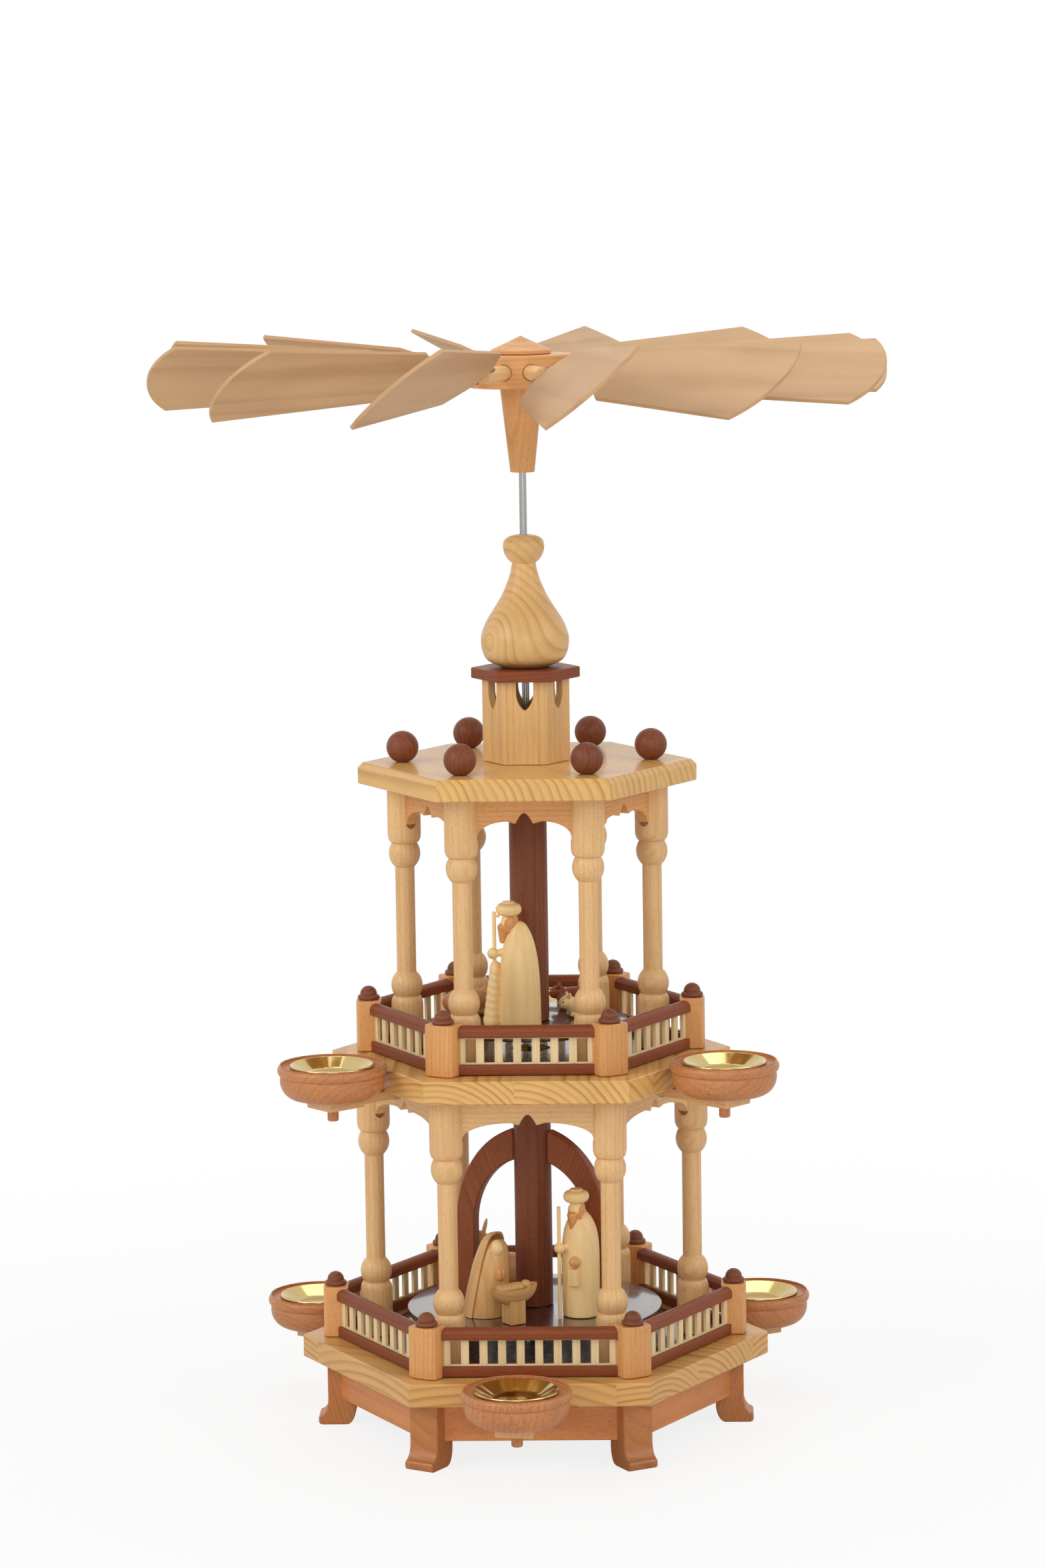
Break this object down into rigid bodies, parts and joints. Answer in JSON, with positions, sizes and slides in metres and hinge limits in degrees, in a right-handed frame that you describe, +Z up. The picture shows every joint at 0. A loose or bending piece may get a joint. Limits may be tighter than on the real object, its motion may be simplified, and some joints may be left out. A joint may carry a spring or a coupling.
{
  "type": "candle carousel",
  "caption": "Two-tier wooden candle carousel: warm air from candles on swinging arms turns a bladed wheel, its spindle, turntables and figures.",
  "frame": {"origin": "on the wheel's axis, in the plane that the feet stand on", "axes": "+Z up along the spindle, -Y towards the front cup of the lower tier, +X to the right corner"},
  "size_m": [0.4066, 0.4065, 0.6163],
  "materials": {
    "pine": "clear lacquer, pale yellow pine",
    "beech": "satin lacquer, warm beech",
    "stained_wood": "dark red-brown stain, glossy lacquer",
    "maple": "bare to satin, pale maple",
    "ash": "clear lacquer, open rings",
    "brass": "polished",
    "steel": "bright drawn rod",
    "glass": "clear pressed glass"
  },
  "bodies": {
    "frame": {"base_frame": "beech", "base_plate": "pine", "pivot_bearing": "glass", "lower_colonnade": "beech", "lower_fence": "maple", "mid_plate": "pine", "upper_colonnade": "beech", "upper_fence": "maple", "roof_plate": "pine", "roof_tower": "ash", "tower_cap": "stained_wood", "finial": "ash"},
    "rotor": {"spindle": "steel", "rotor_hub": "beech", "hub_cap": "beech", "hub_sleeve": "beech", "lower_column": "stained_wood", "upper_column": "stained_wood", "lower_turntable": "stained_wood", "upper_turntable": "stained_wood", "arch_right": "stained_wood", "arch_left": "stained_wood", "lower_standing_figure": "maple", "upper_standing_figure": "maple", "kneeling_figure": "maple", "manger": "maple", "resting_animal": "beech", "sheep_dark": "stained_wood", "sheep_light": "maple", "sheep_brown": "beech"},
    "blade_01": {"blade_01": "beech"},
    "blade_02": {"blade_02": "beech"},
    "blade_03": {"blade_03": "beech"},
    "blade_04": {"blade_04": "beech"},
    "blade_05": {"blade_05": "beech"},
    "blade_06": {"blade_06": "beech"},
    "blade_07": {"blade_07": "beech"},
    "blade_08": {"blade_08": "beech"},
    "blade_09": {"blade_09": "beech"},
    "blade_10": {"blade_10": "beech"},
    "blade_11": {"blade_11": "beech"},
    "blade_12": {"blade_12": "beech"},
    "lower_arm_1": {"lower_cup_arm_1": "beech", "lower_candle_cup_1": "beech"},
    "lower_dish_1": {"lower_drip_dish_1": "brass"},
    "lower_arm_2": {"lower_cup_arm_2": "beech", "lower_candle_cup_2": "beech"},
    "lower_dish_2": {"lower_drip_dish_2": "brass"},
    "lower_arm_3": {"lower_cup_arm_3": "beech", "lower_candle_cup_3": "beech"},
    "lower_dish_3": {"lower_drip_dish_3": "brass"},
    "upper_arm_1": {"upper_cup_arm_1": "beech", "upper_candle_cup_1": "beech"},
    "upper_dish_1": {"upper_drip_dish_1": "brass"},
    "upper_arm_2": {"upper_cup_arm_2": "beech", "upper_candle_cup_2": "beech"},
    "upper_dish_2": {"upper_drip_dish_2": "brass"},
    "upper_arm_3": {"upper_cup_arm_3": "beech", "upper_candle_cup_3": "beech"},
    "upper_dish_3": {"upper_drip_dish_3": "brass"}
  },
  "joints": [
    {"name": "rotor_spin", "type": "hinge", "parent": "frame", "child": "rotor", "pos_m": [0, 0, 0.0527], "axis": [0, 0, 1], "continuous": true},
    {"name": "blade_01_pitch", "type": "hinge", "parent": "rotor", "child": "blade_01", "pos_m": [0.02831, 0.00628, 0.59475], "axis": [0.9763, 0.2164, 0], "range_deg": [-20.3, 63.7]},
    {"name": "blade_02_pitch", "type": "hinge", "parent": "rotor", "child": "blade_02", "pos_m": [0.02138, 0.01959, 0.59475], "axis": [0.7373, 0.6756, 0], "range_deg": [-22.5, 61.5]},
    {"name": "blade_03_pitch", "type": "hinge", "parent": "rotor", "child": "blade_03", "pos_m": [0.00872, 0.02766, 0.59475], "axis": [0.3007, 0.9537, 0], "range_deg": [-22.5, 61.5]},
    {"name": "blade_04_pitch", "type": "hinge", "parent": "rotor", "child": "blade_04", "pos_m": [-0.00628, 0.02831, 0.59475], "axis": [-0.2164, 0.9763, 0], "range_deg": [-22.5, 61.5]},
    {"name": "blade_05_pitch", "type": "hinge", "parent": "rotor", "child": "blade_05", "pos_m": [-0.01959, 0.02138, 0.59475], "axis": [-0.6756, 0.7373, 0], "range_deg": [-22.5, 61.5]},
    {"name": "blade_06_pitch", "type": "hinge", "parent": "rotor", "child": "blade_06", "pos_m": [-0.02766, 0.00872, 0.59475], "axis": [-0.9537, 0.3007, 0], "range_deg": [-25, 59]},
    {"name": "blade_07_pitch", "type": "hinge", "parent": "rotor", "child": "blade_07", "pos_m": [-0.02831, -0.00628, 0.59475], "axis": [-0.9763, -0.2164, 0], "range_deg": [-27.7, 56.3]},
    {"name": "blade_08_pitch", "type": "hinge", "parent": "rotor", "child": "blade_08", "pos_m": [-0.02138, -0.01959, 0.59475], "axis": [-0.7373, -0.6756, 0], "range_deg": [-30.3, 53.7]},
    {"name": "blade_09_pitch", "type": "hinge", "parent": "rotor", "child": "blade_09", "pos_m": [-0.00872, -0.02766, 0.59475], "axis": [-0.3007, -0.9537, 0], "range_deg": [-32.3, 51.7]},
    {"name": "blade_10_pitch", "type": "hinge", "parent": "rotor", "child": "blade_10", "pos_m": [0.00628, -0.02831, 0.59475], "axis": [0.2164, -0.9763, 0], "range_deg": [-33.6, 50.4]},
    {"name": "blade_11_pitch", "type": "hinge", "parent": "rotor", "child": "blade_11", "pos_m": [0.01959, -0.02138, 0.59475], "axis": [0.6756, -0.7373, 0], "range_deg": [-29, 55]},
    {"name": "blade_12_pitch", "type": "hinge", "parent": "rotor", "child": "blade_12", "pos_m": [0.02766, -0.00872, 0.59475], "axis": [0.9537, -0.3007, 0], "range_deg": [-22.8, 61.2]},
    {"name": "lower_arm_1_swing", "type": "hinge", "parent": "frame", "child": "lower_arm_1", "pos_m": [0, -0.10506, 0.0374], "axis": [0, 0, 1], "range_deg": [-11.4, 28]},
    {"name": "lower_dish_1_lift", "type": "slide", "parent": "lower_arm_1", "child": "lower_dish_1", "axis": [0, 0, 1], "range_m": [0, 0.03]},
    {"name": "lower_arm_2_swing", "type": "hinge", "parent": "frame", "child": "lower_arm_2", "pos_m": [0.09098, 0.05253, 0.0374], "axis": [0, 0, 1], "range_deg": [-19.7, 19.7]},
    {"name": "lower_dish_2_lift", "type": "slide", "parent": "lower_arm_2", "child": "lower_dish_2", "axis": [0, 0, 1], "range_m": [0, 0.03]},
    {"name": "lower_arm_3_swing", "type": "hinge", "parent": "frame", "child": "lower_arm_3", "pos_m": [-0.09098, 0.05253, 0.0374], "axis": [0, 0, 1], "range_deg": [-19.7, 19.7]},
    {"name": "lower_dish_3_lift", "type": "slide", "parent": "lower_arm_3", "child": "lower_dish_3", "axis": [0, 0, 1], "range_m": [0, 0.03]},
    {"name": "upper_arm_1_swing", "type": "hinge", "parent": "frame", "child": "upper_arm_1", "pos_m": [-0.07439, -0.04295, 0.2014], "axis": [0, 0, 1], "range_deg": [-31.4, 7]},
    {"name": "upper_dish_1_lift", "type": "slide", "parent": "upper_arm_1", "child": "upper_dish_1", "axis": [0, 0, 1], "range_m": [0, 0.03]},
    {"name": "upper_arm_2_swing", "type": "hinge", "parent": "frame", "child": "upper_arm_2", "pos_m": [0.07439, -0.04295, 0.2014], "axis": [0, 0, 1], "range_deg": [-8.7, 29.7]},
    {"name": "upper_dish_2_lift", "type": "slide", "parent": "upper_arm_2", "child": "upper_dish_2", "axis": [0, 0, 1], "range_m": [0, 0.03]},
    {"name": "upper_arm_3_swing", "type": "hinge", "parent": "frame", "child": "upper_arm_3", "pos_m": [0, 0.0859, 0.2014], "axis": [0, 0, 1], "range_deg": [-19.2, 19.2]},
    {"name": "upper_dish_3_lift", "type": "slide", "parent": "upper_arm_3", "child": "upper_dish_3", "axis": [0, 0, 1], "range_m": [0, 0.03]}
  ]
}
